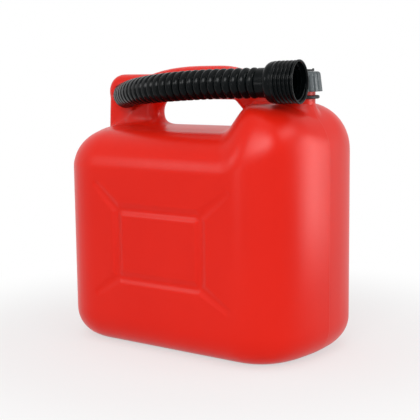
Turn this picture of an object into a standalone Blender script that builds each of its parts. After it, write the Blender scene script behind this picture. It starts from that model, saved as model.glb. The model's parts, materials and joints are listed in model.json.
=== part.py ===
"""A ten litre fuel canister: a blow-moulded tank with a hollow handle, a ribbed screw cap on its
leash, and a flexible pouring spout stowed beside the handle.

Metres, +Z up. The origin is under the middle of the base, +X points to the neck, and the side
where the spout is stowed faces -Y."""

import math

import bmesh
import bpy
from mathutils import Matrix, Vector

# Clearances, the overrun of cuts, and how deep a ridge is rooted in its wall
REST_GAP = 0.0003
TURN_GAP = 0.0006
OVERRUN = 0.0040
ROOT = 0.0006

# Tank
TANK_LENGTH = 0.2970
TANK_WIDTH = 0.1758
CORNER_RADIUS = 0.0622
BASE_EDGE_RADIUS = 0.0306
DECK_HEIGHT = 0.2305
DECK_EDGE_RADIUS = 0.0428
WALL = 0.0022

# Shoulder, where the tank's top rises around the neck
SHOULDER_RISE = 0.0245
SHOULDER_EDGE_RADIUS = 0.0490
SHOULDER_CREST = 0.0377
SHOULDER_FALL = 0.0255
SHOULDER_SPREAD_SHARE = 0.6
EDGE_LIMIT_SHARE = 0.9

# Channels pressed into both broad faces: a panel's frame, and a ray from each of its corners
PANEL_LENGTH = 0.1076
PANEL_HEIGHT = 0.0716
PANEL_MIDDLE = 0.1113
CHANNEL_WIDTH = 0.0096
CHANNEL_FLOOR = 0.0047
CHANNEL_DEPTH = 0.0028
RAY_END_WIDTH = 0.0047
RAY_END_FLOOR = 0.0023
RAY_END_DEPTH = 0.0006
RAY_REAR_REACH = 0.0278
RAY_FRONT_REACH = 0.0319
RAY_RISE = 0.0243
RAY_DROP = 0.0184

# Handle, lengthways from the tank's rear end
POST_SETBACK = 0.0159
POST_LEAN = 0.0025
POST_CORNER_RADIUS = 0.0184
POST_TOP_END = 0.0751
GAP_END_MIDDLE = 0.1000
GAP_END_RADIUS = 0.0148
GAP_END_TURN = 235.0
STEP_LOW_END = 0.0353
STEP_SLOPE_RUN = 0.0234
STEP_SLOPE_RISE = 0.0194

# Handle, lengthways from the neck's middle
CROWN_START = 0.0991
CROWN_END = 0.0929
GRIP_FRONT = 0.0236
ROOT_START = 0.0725
ROOT_END = 0.0481

# Handle, upwards from the deck
POST_HEIGHT = 0.0536
CROWN_HEIGHT = 0.0622
GRIP_FRONT_FOOT = 0.0143
GAP_HEIGHT = 0.0270
ROOT_FOOT = 0.0031
STEP_FOOT = 0.0020

# Handle, across, and how deep its legs run into the tank
HANDLE_WIDTH = 0.0276
HANDLE_EDGE_RADIUS = 0.0122
WEB_WIDTH = 0.0164
LEG_DEPTH = 0.0184

# Neck and its thread, upwards from the shoulder
NECK_SETBACK = 0.0372
NECK_CORE_RADIUS = 0.0165
NECK_WALL = 0.0025
COLLAR_STEP = 0.0013
COLLAR_HEIGHT = 0.0112
FLARE_RADIUS = 0.0060
FLARE_HEIGHT = 0.0041
THREADED_HEIGHT = 0.0157
NECK_EDGE = 0.0008
THREAD_PITCH = 0.0040
THREAD_TURNS = 2.25
THREAD_OFFSET = 0.0036
THREAD_HEIGHT = 0.0014
THREAD_FOOT = 0.0016
THREAD_CREST = 0.0009
THREAD_BEARING = 2.0
THREAD_END_SHARE = 0.15

# Screw cap: an inner threaded sleeve, a narrow relief, and an outer grip
CAP_SLEEVE_WALL = 0.0017
CAP_RELIEF = 0.0020
CAP_RELIEF_END = 0.0006
CAP_RELIEF_DEPTH = 0.0110
CAP_GRIP_WALL = 0.0019
CAP_TAPER = 0.0024
CAP_EDGE_RADIUS = 0.0016
CAP_ROOF = 0.0022
CAP_FLUTES = 24
CAP_FLUTE_DEPTH = 0.0007
FLUTE_SHARES = (1.0, 0.25, 0.0, 0.25)
BUTTON_RADIUS = 0.0047
BUTTON_HEAD_RADIUS = 0.0063
BUTTON_HEAD_HEIGHT = 0.0011
CAP_SEAL_THICKNESS = 0.0013

# Leash: a ring under the cap, a disc on top of it, and a strap between them
RING_WIDTH = 0.0037
RING_HEIGHT = 0.0033
STRAP_WIDTH = 0.0061
STRAP_THICKNESS = 0.0014
STRAP_STANDOFF = 0.0068
STRAP_BEARING = 130.0
DISC_RADIUS = 0.0168
DISC_THICKNESS = 0.0020
NUB_RADIUS = 0.0010
NUB_HEIGHT = 0.0007
NUB_BEARING = 37.0

# Spout socket, along the spout from its mouth
SOCKET_WALL = 0.0025
SOCKET_LENGTH = 0.0366
SOCKET_LIP = 0.0031
SOCKET_RIDGES = 4
SOCKET_RIDGE_PITCH = 0.0046
SOCKET_RIDGE_DEPTH = 0.0010
RIDGE_PLACE_SHARES = (0.3, 0.5, 0.8)
RIDGE_DEPTH_SHARES = (1.0, 1.0, 0.25)
SOCKET_ROUND = 0.0087
SOCKET_REAR_EDGE = 0.0008
SOCKET_BORE_DEPTH = 0.0199
SOCKET_SEAT = 0.0020
SOCKET_THROAT_RADIUS = 0.0112
SPOUT_SEAL_THICKNESS = 0.0015
SPOUT_SEAL_WIDTH = 0.0060

# Spout hose
HOSE_BORE_RADIUS = 0.0110
HOSE_WALL = 0.0023
RIB_HEIGHT = 0.0017
RIB_PITCH = 0.0090
RIB_EASE = 0.0022
CUFF_RISE = 0.0011
FRONT_CUFF = 0.0138
REAR_CUFF = 0.0133

# Route of the stowed spout: places of its ends, its angles, and the shares of its middle run
MOUTH_AHEAD = 0.0297
HOSE_END_SETBACK = 0.0360
FRONT_HEADING = 9.0
REAR_HEADING = 36.0
FRONT_DROOP = 1.3
REAR_DROOP = 6.4
MIDDLE_SHARES = (0.16, 0.30, 0.54)
POCKET_GAP = 0.0005
POCKET_REACH = 0.0450

# Counts of facets
SIDE_STEPS = 12
CORNER_STEPS = 6
END_STEPS = 4
EDGE_STEPS = 6
BASE_STEPS = 4
HANDLE_EDGE_STEPS = 3
POST_CORNER_STEPS = 5
GRIP_RISE_STEPS = 5
GRIP_FALL_STEPS = 7
GAP_END_STEPS = 6
FLARE_STEPS = 5
ROUND_STEPS = 40
SOCKET_STEPS = 32
SOCKET_ROUND_STEPS = 4
SMALL_STEPS = 24
NUB_STEPS = 10
THREAD_STEPS = 24
THREAD_FADE_STEPS = 3
STRAP_STEPS = 5
HOSE_SIDES = 8
BORE_STEPS = 13
POCKET_SIDES = 24
POCKET_STEPS = 4
LEG_STEPS = 60
MITRE_LIMIT_SHARE = 0.35
GRIP_RISE_POWER = 3
SMOOTH_ANGLE = 35.0

# Places and sizes that follow
NECK_X = TANK_LENGTH / 2 - NECK_SETBACK
SHOULDER_HEIGHT = DECK_HEIGHT + SHOULDER_RISE
FLARE_TOP = SHOULDER_HEIGHT + FLARE_HEIGHT
COLLAR_TOP = SHOULDER_HEIGHT + COLLAR_HEIGHT
COLLAR_RADIUS = NECK_CORE_RADIUS + COLLAR_STEP
NECK_TOP = COLLAR_TOP + THREADED_HEIGHT
THREAD_START = COLLAR_TOP + THREAD_OFFSET
THREADED_BORE_RADIUS = NECK_CORE_RADIUS + THREAD_HEIGHT + TURN_GAP
CAP_BOTTOM = COLLAR_TOP + REST_GAP
CAP_TOP = NECK_TOP + REST_GAP + CAP_SEAL_THICKNESS + REST_GAP + CAP_ROOF
CAP_RELIEF_RADIUS = THREADED_BORE_RADIUS + CAP_SLEEVE_WALL
CAP_RADIUS = CAP_RELIEF_RADIUS + CAP_RELIEF + CAP_GRIP_WALL + CAP_FLUTE_DEPTH
DISC_BOTTOM = CAP_TOP + REST_GAP
DISC_TOP = DISC_BOTTOM + DISC_THICKNESS
RING_BOTTOM = FLARE_TOP + REST_GAP
RING_TOP = RING_BOTTOM + RING_HEIGHT
RING_BORE_RADIUS = COLLAR_RADIUS + REST_GAP
RING_RADIUS = RING_BORE_RADIUS + RING_WIDTH
SOCKET_RADIUS = THREADED_BORE_RADIUS + SOCKET_WALL
SOCKET_RIDGES_END = SOCKET_LIP + SOCKET_RIDGE_PITCH * SOCKET_RIDGES
SEAT_END = SOCKET_BORE_DEPTH + SOCKET_SEAT
HOSE_START = SEAT_END + REST_GAP
VALLEY_RADIUS = HOSE_BORE_RADIUS + HOSE_WALL
CUFF_RADIUS = VALLEY_RADIUS + CUFF_RISE
RIB_RADIUS = VALLEY_RADIUS + RIB_HEIGHT
FIRST_RIB = SOCKET_LENGTH + FRONT_CUFF

# Colours
RED = (0.80, 0.035, 0.02)
GREY = (0.10, 0.105, 0.11)
BLACK = (0.012, 0.013, 0.014)
LEASH_BLACK = (0.015, 0.016, 0.018)
RUBBER_BLACK = (0.02, 0.02, 0.02)


def clear_scene():
    for item in list(bpy.data.objects):
        bpy.data.objects.remove(item, do_unlink=True)


def plastic(name, colour, roughness):
    material = bpy.data.materials.new(name)
    material.use_nodes = True
    shader = material.node_tree.nodes["Principled BSDF"]
    shader.inputs["Base Color"].default_value = (*colour, 1.0)
    shader.inputs["Roughness"].default_value = roughness
    shader.inputs["Metallic"].default_value = 0.0
    return material


def add_object(name, bm, material=None):
    """Makes an object of a bmesh, with flat faces that point out and round stretches smooth."""
    bmesh.ops.recalc_face_normals(bm, faces=bm.faces)
    bmesh.ops.triangulate(bm, faces=[face for face in bm.faces if len(face.verts) == 4])
    mesh = bpy.data.meshes.new(name)
    bm.to_mesh(mesh)
    bm.free()
    mesh.shade_smooth()
    mesh.set_sharp_from_angle(angle=math.radians(SMOOTH_ANGLE))
    item = bpy.data.objects.new(name, mesh)
    bpy.context.scene.collection.objects.link(item)
    if material:
        mesh.materials.append(material)
    return item


def cutter(name, bm):
    """A solid that only cuts or joins another, and isn't a piece itself."""
    item = add_object(name, bm)
    item.hide_render = True
    item.display_type = "WIRE"
    return item


def combine(item, other, operation):
    step = item.modifiers.new(f"{operation.lower()} {other.name}", "BOOLEAN")
    step.operation = operation
    step.object = other
    step.solver = "EXACT"


def join_rings(bm, points, closed=False):
    """Faces through equal rings of points, and around to the first ring if closed."""
    rings = [[bm.verts.new(point) for point in ring] for ring in points]
    count = len(rings[0])
    following = rings[1:] + rings[:1] if closed else rings[1:]
    for here, there in zip(rings, following):
        for side in range(count):
            after = (side + 1) % count
            bm.faces.new((here[side], here[after], there[after], there[side]))
    return rings


def loft(points, closed=False):
    """A solid through equal rings of points, capped at both ends unless it closes on itself."""
    bm = bmesh.new()
    rings = join_rings(bm, points, closed)
    if not closed:
        bm.faces.new(list(reversed(rings[0])))
        bm.faces.new(rings[-1])
    return bm


def circle(radius, z, steps):
    turns = [math.tau * step / steps for step in range(steps)]
    return [Vector((radius * math.cos(turn), radius * math.sin(turn), z)) for turn in turns]


def turned(profile, closed=False, steps=ROUND_STEPS):
    """A solid turned about Z from (radius, height) points."""
    return loft([circle(radius, z, steps) for radius, z in profile], closed)


def arc(middle_a, middle_b, radius_a, radius_b, start, end, steps):
    """Points on an elliptical arc between two angles in degrees, both ends included."""
    turns = [math.radians(start + (end - start) * step / steps) for step in range(steps + 1)]
    return [(middle_a + radius_a * math.cos(turn), middle_b + radius_b * math.sin(turn))
            for turn in turns]


def smooth_step(share):
    share = min(1.0, max(0.0, share))
    return share * share * (3.0 - 2.0 * share)


def over_neck(bm):
    """Moves a solid that was made about Z to the neck's axis."""
    bm.transform(Matrix.Translation((NECK_X, 0, 0)))
    return bm


# Tank body

def shoulder_share(x, y):
    """0 on the low deck, rising to 1 on the shoulder around the neck."""
    behind = max(0.0, NECK_X - x)
    reach = math.hypot(behind, SHOULDER_SPREAD_SHARE * y)
    return smooth_step((SHOULDER_CREST + SHOULDER_FALL - reach) / SHOULDER_FALL)


def deck_height(x, y):
    return DECK_HEIGHT + SHOULDER_RISE * shoulder_share(x, y)


def edge_radius(share):
    """Rounding between the top and the sides, which a tight plan corner limits."""
    radius = DECK_EDGE_RADIUS + (SHOULDER_EDGE_RADIUS - DECK_EDGE_RADIUS) * share
    return min(radius, EDGE_LIMIT_SHARE * CORNER_RADIUS)


def top_height(x, y, skin):
    """Height of the tank's top at a place, or of the space inside its wall, with its rounding."""
    beyond_x = max(0.0, abs(x) - (TANK_LENGTH / 2 - CORNER_RADIUS))
    beyond_y = max(0.0, abs(y) - (TANK_WIDTH / 2 - CORNER_RADIUS))
    inset = CORNER_RADIUS - math.hypot(beyond_x, beyond_y) - skin
    radius = edge_radius(shoulder_share(x, y)) - skin
    across = max(0.0, radius - inset)
    drop = radius - math.sqrt(max(0.0, radius * radius - across * across))
    return deck_height(x, y) - skin - drop


def plan_outline(inset):
    """Plan of the tank moved in by inset, anticlockwise from the rear end of the -Y side."""
    half_x = TANK_LENGTH / 2 - CORNER_RADIUS
    half_y = TANK_WIDTH / 2 - CORNER_RADIUS
    radius = CORNER_RADIUS - inset
    corners = [Vector((half_x, -half_y)), Vector((half_x, half_y)),
               Vector((-half_x, half_y)), Vector((-half_x, -half_y))]
    points = []
    for index, corner in enumerate(corners):
        first = 90 * (index - 1)
        rounded = [Vector(point) for point in
                   arc(corner.x, corner.y, radius, radius, first, first + 90, CORNER_STEPS)]
        before = corners[index - 1]
        steps = END_STEPS if index % 2 else SIDE_STEPS
        run = corner - before
        points.extend(rounded[0] - run * (1 - step / steps) for step in range(steps))
        points.extend(rounded[:-1])
    return points


def tank_body(skin):
    """The tank's outside, or with a skin thickness the space inside its wall."""
    levels = []
    base_radius = BASE_EDGE_RADIUS - skin
    for level_x, level_z in arc(0.0, 0.0, base_radius, base_radius, -90, 0, BASE_STEPS):
        plan = plan_outline(skin + base_radius - level_x)
        levels.append([Vector((x, y, skin + base_radius + level_z)) for x, y in plan])
    widest = max(edge_radius(0.0), edge_radius(1.0)) - skin
    for level_x, _ in arc(0.0, 0.0, widest, widest, 0, 90, EDGE_STEPS):
        plan = plan_outline(skin + widest - level_x)
        levels.append([Vector((x, y, top_height(x, y, skin))) for x, y in plan])
    bm = bmesh.new()
    rings = join_rings(bm, levels)
    bm.faces.new(list(reversed(rings[0])))
    fill_deck(bm, rings[-1], skin)
    return bm


def fill_deck(bm, ring, skin):
    """Closes the top with rows of faces from the -Y side to the +Y side."""
    columns = SIDE_STEPS + 2 * CORNER_STEPS + 1
    count = len(ring)
    near = [ring[(index - CORNER_STEPS) % count] for index in range(columns)]
    far_start = SIDE_STEPS + CORNER_STEPS + END_STEPS
    far = [ring[(far_start + columns - 1 - index) % count] for index in range(columns)]
    front = [ring[(SIDE_STEPS + CORNER_STEPS + index) % count] for index in range(END_STEPS + 1)]
    rear = [ring[(-CORNER_STEPS - index) % count] for index in range(END_STEPS + 1)]
    rows = [rear]
    for start, end in list(zip(near, far))[1:-1]:
        row = [start]
        for step in range(1, END_STEPS):
            point = start.co.lerp(end.co, step / END_STEPS)
            point.z = top_height(point.x, point.y, skin)
            row.append(bm.verts.new(point))
        rows.append(row + [end])
    rows.append(front)
    for row, after in zip(rows, rows[1:]):
        for step in range(END_STEPS):
            bm.faces.new((row[step], after[step], after[step + 1], row[step + 1]))


# Handle

def handle_outline():
    """The handle, its rear post and its two legs, seen from the side, as (x, z) points."""
    rear = -TANK_LENGTH / 2
    leg_foot = DECK_HEIGHT - LEG_DEPTH
    post_rear = rear + POST_SETBACK
    post_top = DECK_HEIGHT + POST_HEIGHT
    points = [(post_rear, leg_foot), (post_rear, DECK_HEIGHT)]
    points += arc(post_rear + POST_LEAN + POST_CORNER_RADIUS, post_top - POST_CORNER_RADIUS,
                  POST_CORNER_RADIUS, POST_CORNER_RADIUS, 180, 90, POST_CORNER_STEPS)
    crown_x = NECK_X - CROWN_START
    crown_z = DECK_HEIGHT + CROWN_HEIGHT
    rise_x = rear + POST_TOP_END
    for step in range(GRIP_RISE_STEPS + 1):
        left = 1 - step / GRIP_RISE_STEPS
        points.append((crown_x + (rise_x - crown_x) * left,
                       crown_z + (post_top - crown_z) * left ** GRIP_RISE_POWER))
    front_foot = DECK_HEIGHT + GRIP_FRONT_FOOT
    fall_x = NECK_X - CROWN_END
    points += arc(fall_x, front_foot, CROWN_END - GRIP_FRONT, crown_z - front_foot, 90, 0,
                  GRIP_FALL_STEPS)
    gap_top = DECK_HEIGHT + GAP_HEIGHT
    points += [(NECK_X - GRIP_FRONT, leg_foot), (NECK_X - ROOT_END, leg_foot),
               (NECK_X - ROOT_END, DECK_HEIGHT + ROOT_FOOT), (NECK_X - ROOT_START, gap_top)]
    points += arc(rear + GAP_END_MIDDLE, gap_top - GAP_END_RADIUS, GAP_END_RADIUS, GAP_END_RADIUS,
                  90, GAP_END_TURN, GAP_END_STEPS)
    points.append((points[-1][0], leg_foot))
    return points


def inset_outline(points, distance):
    """Moves each corner of a clockwise (x, z) outline inwards by the same distance."""
    moved = []
    for index, point in enumerate(points):
        here = Vector(point)
        before = (here - Vector(points[index - 1])).normalized()
        after = (Vector(points[(index + 1) % len(points)]) - here).normalized()
        normal_before = Vector((before.y, -before.x))
        normal_after = Vector((after.y, -after.x))
        middle = (normal_before + normal_after).normalized()
        moved.append(here + middle * (distance / max(MITRE_LIMIT_SHARE, middle.dot(normal_after))))
    return moved


def handle_body(skin):
    """The handle's outside, or with a skin thickness the space inside its wall."""
    edge = HANDLE_EDGE_RADIUS - skin
    half = HANDLE_WIDTH / 2 - skin
    outline = handle_outline()
    near = []
    for across, out in arc(edge - half, -edge, edge, edge, 180, 90, HANDLE_EDGE_STEPS):
        near.append([Vector((x, across, z)) for x, z in inset_outline(outline, skin - out)])
    far = [[Vector((point.x, -point.y, point.z)) for point in section]
           for section in reversed(near)]
    return loft(near + far)


def spout_step(grow, top):
    """The step in the post's near face, behind a slanting edge, where the hose's end lies."""
    slope = STEP_SLOPE_RUN / STEP_SLOPE_RISE
    rear = -TANK_LENGTH / 2
    foot = DECK_HEIGHT - STEP_FOOT
    low = DECK_HEIGHT - LEG_DEPTH
    edge_at_foot = rear + STEP_LOW_END + grow
    low_edge = edge_at_foot + slope * (low - foot)
    top_edge = edge_at_foot + slope * (top - foot)
    outside = rear + POST_SETBACK - OVERRUN
    outline = [(outside, low), (outside, top), (top_edge, top), (low_edge, low)]
    near = -HANDLE_WIDTH / 2 - OVERRUN
    return loft([[Vector((x, y, z)) for x, z in outline] for y in (near, grow - WEB_WIDTH / 2)])


# Pressed channels

def channel_section(middle, across, width, floor, depth):
    """The four corners of a channel's cut, at one place along it."""
    flare = (width - floor) / 2 * OVERRUN / depth
    outer = -TANK_WIDTH / 2 - OVERRUN
    deep = depth - TANK_WIDTH / 2
    corners = []
    for side, y in ((width / 2 + flare, outer), (floor / 2, deep), (-floor / 2, deep),
                    (-width / 2 - flare, outer)):
        place = middle + across * side
        corners.append(Vector((place.x, y, place.y)))
    return corners


def on_both_faces(bm):
    """Adds the same solid on the other broad face."""
    copy = bmesh.ops.duplicate(bm, geom=bm.verts[:] + bm.edges[:] + bm.faces[:])["geom"]
    for vert in copy:
        if isinstance(vert, bmesh.types.BMVert):
            vert.co.y = -vert.co.y
    bmesh.ops.reverse_faces(bm, faces=[item for item in copy if isinstance(item, bmesh.types.BMFace)])
    return bm


def panel_corners():
    half_x = PANEL_LENGTH / 2
    half_z = PANEL_HEIGHT / 2
    middle = Vector((0.0, PANEL_MIDDLE))
    return [middle + Vector((side_x * half_x, side_z * half_z))
            for side_x, side_z in ((-1, -1), (1, -1), (1, 1), (-1, 1))]


def frame_channels(grow):
    """The four straight channels, mitred at the panel's corners."""
    middle = Vector((0.0, PANEL_MIDDLE))
    sections = []
    for corner in panel_corners():
        outward = corner - middle
        across = Vector((math.copysign(1, outward.x), math.copysign(1, outward.y)))
        sections.append(channel_section(corner, across, CHANNEL_WIDTH + 2 * grow,
                                        CHANNEL_FLOOR + 2 * grow, CHANNEL_DEPTH + grow))
    return on_both_faces(loft(sections, closed=True))


def ray_channel(index, grow):
    """One slanting channel, which starts in the frame and runs out towards the tank's corner."""
    reach = Vector((-RAY_REAR_REACH if index in (0, 3) else RAY_FRONT_REACH,
                    -RAY_DROP if index < 2 else RAY_RISE))
    corner = panel_corners()[index]
    along = reach.normalized()
    across = Vector((-along.y, along.x))
    start = channel_section(corner + along * (CHANNEL_FLOOR / 2), across, CHANNEL_WIDTH + 2 * grow,
                            CHANNEL_FLOOR + 2 * grow, CHANNEL_DEPTH + grow)
    end = channel_section(corner + reach, across, RAY_END_WIDTH + 2 * grow,
                          RAY_END_FLOOR + 2 * grow, RAY_END_DEPTH + grow)
    return on_both_faces(loft([start, end]))


# Threads

def thread(radius, height, start):
    """A helical ridge about Z. A positive height stands out of a wall, a negative one into a bore."""
    steps = round(THREAD_TURNS * THREAD_STEPS)
    root = radius - math.copysign(ROOT, height)
    sections = []
    for step in range(steps + 1):
        turn = math.radians(THREAD_BEARING) + math.tau * step / THREAD_STEPS
        z = start + THREAD_PITCH * step / THREAD_STEPS
        fade = min(1.0, step / THREAD_FADE_STEPS, (steps - step) / THREAD_FADE_STEPS)
        crest = radius + height * max(THREAD_END_SHARE, fade)
        sections.append([Vector((reach * math.cos(turn), reach * math.sin(turn), z + rise))
                         for reach, rise in ((root, THREAD_FOOT / 2), (crest, THREAD_CREST / 2),
                                             (crest, -THREAD_CREST / 2), (root, -THREAD_FOOT / 2))])
    return loft(sections)


# Route of the spout

def leg_directions(headings, droops):
    """Directions at the middles of equal steps along one leg, whose angles change evenly."""
    directions = []
    for step in range(LEG_STEPS):
        share = (step + 0.5) / LEG_STEPS
        heading = math.radians(headings[0] + (headings[1] - headings[0]) * share)
        droop = math.radians(droops[0] + (droops[1] - droops[0]) * share)
        directions.append(Vector((-math.cos(heading) * math.cos(droop),
                                  -math.sin(heading) * math.cos(droop), -math.sin(droop))))
    return directions


def mouth_place():
    """The mouth's middle: beside the cap, and as high as the socket's ridges rest on the shoulder."""
    heading = math.radians(FRONT_HEADING)
    droop = math.radians(FRONT_DROOP)
    spacing = (CAP_RADIUS + TURN_GAP + SOCKET_RADIUS) / math.cos(heading)
    height = SHOULDER_HEIGHT + REST_GAP + SOCKET_RADIUS + SOCKET_RIDGES_END * math.tan(droop)
    return Vector((NECK_X + MOUTH_AHEAD, MOUTH_AHEAD * math.tan(heading) - spacing, height))


def spout_route():
    """Steps along the spout's middle, from mouth to end, as (length so far, place, direction)."""
    middle_droop = (FRONT_DROOP + REAR_DROOP) / 2
    legs = [leg_directions((FRONT_HEADING, FRONT_HEADING), (FRONT_DROOP, FRONT_DROOP)),
            leg_directions((FRONT_HEADING, 0.0), (FRONT_DROOP, FRONT_DROOP)),
            leg_directions((0.0, 0.0), (FRONT_DROOP, middle_droop)),
            leg_directions((0.0, -REAR_HEADING), (middle_droop, REAR_DROOP)),
            leg_directions((-REAR_HEADING, -REAR_HEADING), (REAR_DROOP, REAR_DROOP))]
    advance = [-sum(direction.x for direction in leg) / LEG_STEPS for leg in legs]
    place = mouth_place()
    front_run = HOSE_START + 2 * RIB_RADIUS
    rear_run = 2 * RIB_RADIUS
    reach = place.x + TANK_LENGTH / 2 - HOSE_END_SETBACK
    reach -= front_run * advance[0] + rear_run * advance[-1]
    middle = reach / sum(share * step for share, step in zip(MIDDLE_SHARES, advance[1:-1]))
    lengths = [front_run] + [middle * share for share in MIDDLE_SHARES] + [rear_run]
    along = 0.0
    route = [(along, place, legs[0][0])]
    for length, leg in zip(lengths, legs):
        for direction in leg:
            along += length / LEG_STEPS
            place = place + direction * (length / LEG_STEPS)
            route.append((along, place, direction))
    return route


def place_on(route, along):
    """The point and direction at a length along the route, which may lie past its end."""
    for (start, place, _), (end, _, direction) in zip(route, route[1:]):
        if along <= end:
            return place + direction * (along - start), direction
    end, place, direction = route[-1]
    return place + direction * (along - end), direction


def axes_on(route, along):
    """The place on the route, and three axes there: sideways, upwards and along it."""
    place, direction = place_on(route, along)
    side = direction.cross(Vector((0, 0, 1))).normalized()
    return place, side, direction.cross(side), direction


def tube(route, stations, sides):
    """A tube along the route from (length along, radius) stations, with its ends square."""
    turns = [math.tau * (step + 0.5) / sides for step in range(sides)]
    sections = []
    for along, radius in stations:
        place, side, lift, _ = axes_on(route, along)
        sections.append([place + side * (radius * math.cos(turn)) + lift * (radius * math.sin(turn))
                         for turn in turns])
    return loft(sections)


def along_spout(bm, route):
    """Stands a solid that was made about Z on the spout's mouth, its +Z along the spout."""
    place, side, lift, direction = axes_on(route, 0.0)
    turn = Matrix((side, lift, direction)).transposed().to_4x4()
    bm.transform(Matrix.Translation(place) @ turn)
    return bm


def even_stations(start, end, radius, steps):
    return [(start + (end - start) * step / steps, radius) for step in range(steps + 1)]


def hose_stations(route):
    """The hose from its end inside the socket to its end in the post: cuff, ribs, cuff."""
    end = route[-1][0]
    span = end - REAR_CUFF - FIRST_RIB
    count = round(span / RIB_PITCH)
    stations = [(HOSE_START, CUFF_RADIUS), (FIRST_RIB - RIB_EASE, CUFF_RADIUS)]
    for rib in range(count):
        stations.append((FIRST_RIB + span * rib / count, VALLEY_RADIUS))
        stations.append((FIRST_RIB + span * (rib + 0.5) / count, RIB_RADIUS))
    stations.append((FIRST_RIB + span, VALLEY_RADIUS))
    stations.append((FIRST_RIB + span + RIB_EASE, CUFF_RADIUS))
    stations.append((end, CUFF_RADIUS))
    return stations


# Pieces

def make_neck():
    """The neck's outside, its thread, and the bore that opens it into the tank. The neck's flare
    follows the shoulder, which falls away in front of it."""
    foot = SHOULDER_HEIGHT - SHOULDER_EDGE_RADIUS
    rings = [circle(COLLAR_RADIUS + FLARE_RADIUS, foot, ROUND_STEPS)]
    for radius, rise in arc(COLLAR_RADIUS + FLARE_RADIUS, FLARE_HEIGHT, FLARE_RADIUS,
                            FLARE_HEIGHT + ROOT, 270, 180, FLARE_STEPS):
        rings.append([Vector((point.x, point.y, top_height(NECK_X + point.x, point.y, 0.0) + rise))
                      for point in circle(radius, 0.0, ROUND_STEPS)])
    rings += [circle(radius, height, ROUND_STEPS) for radius, height in (
        (COLLAR_RADIUS, COLLAR_TOP), (NECK_CORE_RADIUS, COLLAR_TOP + COLLAR_STEP),
        (NECK_CORE_RADIUS, NECK_TOP - NECK_EDGE), (NECK_CORE_RADIUS - NECK_EDGE, NECK_TOP))]
    outside = cutter("neck_outside", over_neck(loft(rings)))
    ridge = cutter("neck_thread", over_neck(thread(NECK_CORE_RADIUS, THREAD_HEIGHT, THREAD_START)))
    bore_radius = NECK_CORE_RADIUS - NECK_WALL
    bore = cutter("neck_bore", over_neck(turned(
        [(bore_radius, foot), (bore_radius, NECK_TOP + OVERRUN)])))
    return outside, ridge, bore


def make_pocket(route, grow):
    """The hollow in the rear post that the hose's end lies in."""
    end = route[-1][0]
    radius = RIB_RADIUS + POCKET_GAP + grow
    return tube(route, even_stations(end - POCKET_REACH, end + REST_GAP + grow, radius, POCKET_STEPS),
                POCKET_SIDES)


def make_tank(red, route):
    tank = add_object("tank_shell", tank_body(0.0), red)
    handle = cutter("handle_outside", handle_body(0.0))
    neck, ridge, bore = make_neck()
    inside = cutter("inside", tank_body(WALL))
    step_top = route[-1][1].z
    presses = [("pocket", make_pocket(route, 0.0), make_pocket(route, WALL)),
               ("spout_step", spout_step(0.0, step_top), spout_step(WALL, step_top)),
               ("frame_channels", frame_channels(0.0), frame_channels(WALL))]
    for index in range(len(panel_corners())):
        presses.append((f"ray_channel_{index + 1}", ray_channel(index, 0.0), ray_channel(index, WALL)))
    combine(inside, cutter("handle_inside", handle_body(WALL)), "UNION")
    for solid in (handle, neck, ridge):
        combine(tank, solid, "UNION")
    for name, outer, inner in presses:
        combine(tank, cutter(name, outer), "DIFFERENCE")
        combine(inside, cutter(f"{name}_inside", inner), "DIFFERENCE")
    combine(tank, inside, "DIFFERENCE")
    combine(tank, bore, "DIFFERENCE")


def cap_ring(radius, z, flute):
    """A ring of the cap's grip: round lobes with a narrow groove between each two."""
    steps = CAP_FLUTES * len(FLUTE_SHARES)
    ring = []
    for step in range(steps):
        turn = math.tau * step / steps
        reach = radius - flute * FLUTE_SHARES[step % len(FLUTE_SHARES)]
        ring.append(Vector((reach * math.cos(turn), reach * math.sin(turn), z)))
    return ring


def make_cap(grey):
    edge_start = CAP_TOP - CAP_EDGE_RADIUS
    edge_radius_there = CAP_RADIUS - CAP_TAPER
    flat_radius = edge_radius_there - CAP_EDGE_RADIUS
    bend = CAP_EDGE_RADIUS * math.sin(math.pi / 4)
    cap = add_object("screw_cap", loft([
        cap_ring(CAP_RADIUS, CAP_BOTTOM, CAP_FLUTE_DEPTH),
        cap_ring(edge_radius_there, edge_start, CAP_FLUTE_DEPTH),
        cap_ring(flat_radius + bend, edge_start + bend, CAP_FLUTE_DEPTH / 2),
        cap_ring(flat_radius, CAP_TOP, 0.0)]), grey)
    head_foot = DISC_TOP + REST_GAP
    button = cutter("cap_button", turned([
        (BUTTON_RADIUS, CAP_TOP - ROOT), (BUTTON_RADIUS, head_foot),
        (BUTTON_HEAD_RADIUS, head_foot), (BUTTON_HEAD_RADIUS, head_foot + BUTTON_HEAD_HEIGHT / 2),
        (BUTTON_RADIUS, head_foot + BUTTON_HEAD_HEIGHT)], steps=SMALL_STEPS))
    hollow = cutter("cap_hollow", turned([
        (THREADED_BORE_RADIUS, CAP_BOTTOM - OVERRUN), (THREADED_BORE_RADIUS, CAP_TOP - CAP_ROOF)]))
    relief_outer = CAP_RELIEF_RADIUS + CAP_RELIEF
    relief_top = CAP_BOTTOM + CAP_RELIEF_DEPTH
    relief = cutter("cap_relief", turned([
        (CAP_RELIEF_RADIUS, CAP_BOTTOM - OVERRUN), (relief_outer, CAP_BOTTOM - OVERRUN),
        (relief_outer, CAP_BOTTOM), (CAP_RELIEF_RADIUS + CAP_RELIEF_END, relief_top),
        (CAP_RELIEF_RADIUS, relief_top)], closed=True))
    ridge = cutter("cap_thread", thread(THREADED_BORE_RADIUS, -THREAD_HEIGHT,
                                        THREAD_START + THREAD_PITCH / 2))
    combine(cap, button, "UNION")
    combine(cap, hollow, "DIFFERENCE")
    combine(cap, relief, "DIFFERENCE")
    combine(cap, ridge, "UNION")
    for item in (cap, button, hollow, relief, ridge):
        item.location.x = NECK_X


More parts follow.
